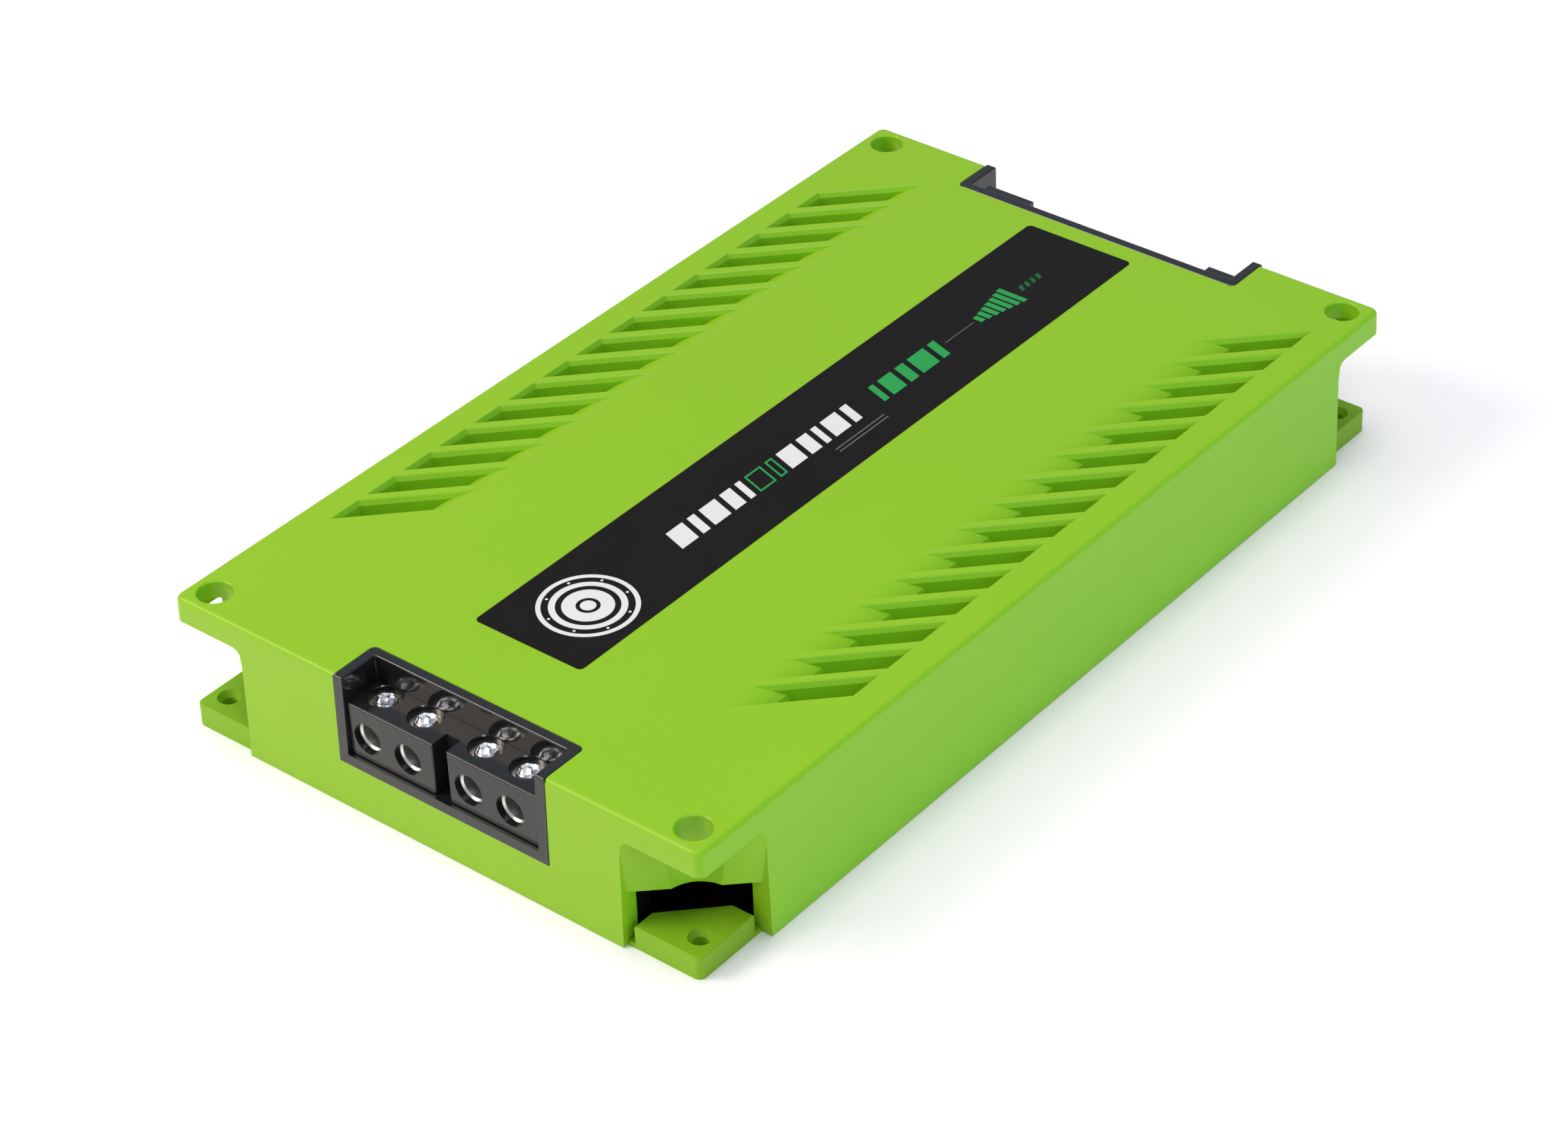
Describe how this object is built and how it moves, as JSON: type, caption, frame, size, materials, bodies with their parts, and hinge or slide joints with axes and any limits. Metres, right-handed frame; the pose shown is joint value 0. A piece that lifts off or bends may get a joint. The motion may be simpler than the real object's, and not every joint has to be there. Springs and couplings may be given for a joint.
{
  "type": "car audio amplifier",
  "caption": "Flat car audio amplifier: painted case with rows of slanted blind slots, recessed terminals and controls at its ends, and screw-down feet under overhanging corners.",
  "frame": {"origin": "middle of the case, on the surface it is screwed to", "axes": "+Y along the case towards the signal end, +Z out of the flat top; the power terminals are at -Y"},
  "size_m": [0.2426, 0.4088, 0.056],
  "materials": {
    "green_paint": "glossy",
    "green_paint_base": "satin",
    "label_film": "satin",
    "black_bezel": "glossy",
    "black_housing": "satin",
    "black_panel": "matt",
    "black_knob": "matt",
    "black_package": "matt",
    "jack_plastic": "satin",
    "green_plastic": "satin",
    "lamp": "clear",
    "plated_block": "nickel plated",
    "bright_steel": "zinc plated",
    "zinc_screw": "zinc plated",
    "spring_steel": "plain",
    "gold_plate": "gold plated",
    "brass_post": "plain",
    "copper": "tinned copper",
    "copper_wire": "enamelled copper",
    "bare_aluminium": "extruded",
    "pot_metal": "plain",
    "ferrite": "matt",
    "board": "solder mask",
    "film": "matt",
    "film_box": "glossy",
    "capacitor_sleeve": "glossy",
    "thermal_pad": "matt",
    "ribbon": "matt"
  },
  "bodies": {
    "case": {"top_cover": "green_paint", "base_plate": "green_paint_base", "label_strip": "label_film", "cover_screws": "zinc_screw", "front_bezel": "black_bezel", "rear_bezel": "black_bezel", "power_housing": "black_housing", "speaker_housing": "black_housing", "power_block_left": "plated_block", "power_block_right": "plated_block", "speaker_block_left": "plated_block", "speaker_block_right": "plated_block", "power_bus_left": "copper", "power_bus_right": "copper", "speaker_bus_left": "copper", "speaker_bus_right": "copper", "rear_panel": "black_panel", "remote_socket": "green_plastic", "signal_board": "board", "signal_jack_inserts": "jack_plastic", "signal_jack_shells": "gold_plate", "pot_bodies": "pot_metal", "status_lamps": "lamp", "ribbon_cable": "ribbon", "main_board": "board", "insulating_film": "film", "board_standoffs": "brass_post", "board_screws": "zinc_screw", "supply_capacitors": "capacitor_sleeve", "transformer_cores": "ferrite", "transformer_windings": "copper_wire", "inductor_cores": "ferrite", "inductor_windings": "copper_wire", "film_capacitors": "film_box", "power_transistors": "black_package", "thermal_pads": "thermal_pad", "heat_bars": "bare_aluminium", "clamp_bars": "spring_steel", "clamp_screws": "zinc_screw", "driver_card": "board"},
    "power_pad_1": {"power_pad_1": "zinc_screw"},
    "power_screw_1": {"power_screw_1": "bright_steel"},
    "power_pad_2": {"power_pad_2": "zinc_screw"},
    "power_screw_2": {"power_screw_2": "bright_steel"},
    "power_pad_3": {"power_pad_3": "zinc_screw"},
    "power_screw_3": {"power_screw_3": "bright_steel"},
    "power_pad_4": {"power_pad_4": "zinc_screw"},
    "power_screw_4": {"power_screw_4": "bright_steel"},
    "speaker_pad_1": {"speaker_pad_1": "zinc_screw"},
    "speaker_screw_1": {"speaker_screw_1": "bright_steel"},
    "speaker_pad_2": {"speaker_pad_2": "zinc_screw"},
    "speaker_screw_2": {"speaker_screw_2": "bright_steel"},
    "bass_boost": {"bass_boost_shaft": "pot_metal", "bass_boost_knob": "black_knob"},
    "subsonic": {"subsonic_shaft": "pot_metal", "subsonic_knob": "black_knob"},
    "low_pass": {"low_pass_shaft": "pot_metal", "low_pass_knob": "black_knob"},
    "level": {"level_shaft": "pot_metal", "level_knob": "black_knob"}
  },
  "joints": [
    {"name": "power_pad_1_slide", "type": "slide", "parent": "case", "child": "power_pad_1", "axis": [0, 0, 1], "range_m": [-0.00451, 0.00301]},
    {"name": "power_screw_1_turn", "type": "hinge", "parent": "power_pad_1", "child": "power_screw_1", "pos_m": [-0.0295, -0.192, 0.044], "axis": [0, 0, 1], "range_deg": [-1296, 864]},
    {"name": "power_pad_2_slide", "type": "slide", "parent": "case", "child": "power_pad_2", "axis": [0, 0, 1], "range_m": [-0.00451, 0.00301]},
    {"name": "power_screw_2_turn", "type": "hinge", "parent": "power_pad_2", "child": "power_screw_2", "pos_m": [-0.0107, -0.192, 0.044], "axis": [0, 0, 1], "range_deg": [-1296, 864]},
    {"name": "power_pad_3_slide", "type": "slide", "parent": "case", "child": "power_pad_3", "axis": [0, 0, 1], "range_m": [-0.00451, 0.00301]},
    {"name": "power_screw_3_turn", "type": "hinge", "parent": "power_pad_3", "child": "power_screw_3", "pos_m": [0.0171, -0.192, 0.044], "axis": [0, 0, 1], "range_deg": [-1296, 864]},
    {"name": "power_pad_4_slide", "type": "slide", "parent": "case", "child": "power_pad_4", "axis": [0, 0, 1], "range_m": [-0.00451, 0.00301]},
    {"name": "power_screw_4_turn", "type": "hinge", "parent": "power_pad_4", "child": "power_screw_4", "pos_m": [0.0359, -0.192, 0.044], "axis": [0, 0, 1], "range_deg": [-1296, 864]},
    {"name": "speaker_pad_1_slide", "type": "slide", "parent": "case", "child": "speaker_pad_1", "axis": [0, 0, 1], "range_m": [-0.00401, 0.00201]},
    {"name": "speaker_screw_1_turn", "type": "hinge", "parent": "speaker_pad_1", "child": "speaker_screw_1", "pos_m": [-0.0472, 0.193, 0.0374], "axis": [0, 0, 1], "range_deg": [-1440, 720]},
    {"name": "speaker_pad_2_slide", "type": "slide", "parent": "case", "child": "speaker_pad_2", "axis": [0, 0, 1], "range_m": [-0.00401, 0.00201]},
    {"name": "speaker_screw_2_turn", "type": "hinge", "parent": "speaker_pad_2", "child": "speaker_screw_2", "pos_m": [-0.0278, 0.193, 0.0374], "axis": [0, 0, 1], "range_deg": [-1440, 720]},
    {"name": "bass_boost_turn", "type": "hinge", "parent": "case", "child": "bass_boost", "pos_m": [0.002, 0.19, 0.033], "axis": [0, 1, 0], "range_deg": [-135, 135]},
    {"name": "subsonic_turn", "type": "hinge", "parent": "case", "child": "subsonic", "pos_m": [0.014, 0.19, 0.033], "axis": [0, 1, 0], "range_deg": [-135, 135]},
    {"name": "low_pass_turn", "type": "hinge", "parent": "case", "child": "low_pass", "pos_m": [0.026, 0.19, 0.033], "axis": [0, 1, 0], "range_deg": [-135, 135]},
    {"name": "level_turn", "type": "hinge", "parent": "case", "child": "level", "pos_m": [0.038, 0.19, 0.033], "axis": [0, 1, 0], "range_deg": [-135, 135]}
  ],
  "couplings": [
    {"joint": "power_pad_1_slide", "follows": "power_screw_1_turn", "m_per_rad": 0.00019894},
    {"joint": "power_pad_2_slide", "follows": "power_screw_2_turn", "m_per_rad": 0.00019894},
    {"joint": "power_pad_3_slide", "follows": "power_screw_3_turn", "m_per_rad": 0.00019894},
    {"joint": "power_pad_4_slide", "follows": "power_screw_4_turn", "m_per_rad": 0.00019894},
    {"joint": "speaker_pad_1_slide", "follows": "speaker_screw_1_turn", "m_per_rad": 0.00015915},
    {"joint": "speaker_pad_2_slide", "follows": "speaker_screw_2_turn", "m_per_rad": 0.00015915}
  ]
}
